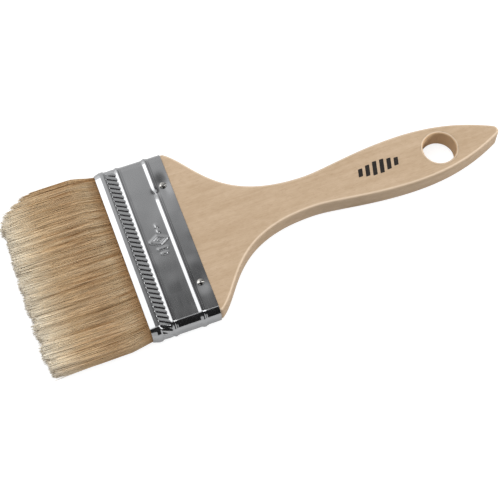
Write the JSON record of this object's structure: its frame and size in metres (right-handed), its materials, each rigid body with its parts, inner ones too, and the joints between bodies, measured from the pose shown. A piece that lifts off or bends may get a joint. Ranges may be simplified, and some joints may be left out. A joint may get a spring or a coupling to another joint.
{
  "type": "flat paint brush",
  "caption": "Flat natural-bristle chip brush: a shaped wooden handle nailed into a rolled steel ferrule that grips a flexing bristle pack.",
  "frame": {"origin": "bottom centre of the brush's bounding box, as it lies on its back", "axes": "+X along the handle towards the hang hole, +Y across the brush, +Z out of the front face"},
  "size_m": [0.21, 0.0792, 0.0118],
  "materials": {
    "handle_wood": "sanded pale hardwood with a thin clear sealer, satin",
    "ferrule_steel": "bright tin-plated sheet, rolled beads and a knurled band",
    "nail_steel": "bright plated, domed",
    "resin": "amber setting resin",
    "spacer_wood": "raw sawn strip",
    "bristle": "bleached natural hog bristle, pale tips and darker roots"
  },
  "bodies": {
    "brush_body": {"handle": "handle_wood", "ferrule": "ferrule_steel", "nail_front_left": "nail_steel", "nail_front_right": "nail_steel", "nail_back_left": "nail_steel", "nail_back_right": "nail_steel", "resin_setting": "resin", "spacer_strip": "spacer_wood", "bristle_roots_front": "bristle", "bristle_roots_back": "bristle"},
    "bristle_head": {"bristles_front": "bristle", "bristles_back": "bristle"}
  },
  "joints": [
    {"name": "bristle_flex", "type": "hinge", "parent": "brush_body", "child": "bristle_head", "pos_m": [-0.0683, 0, 0.0059], "axis": [0, 1, 0], "range_deg": [-30, 30], "stiffness_Nm_per_rad": 0.16}
  ]
}
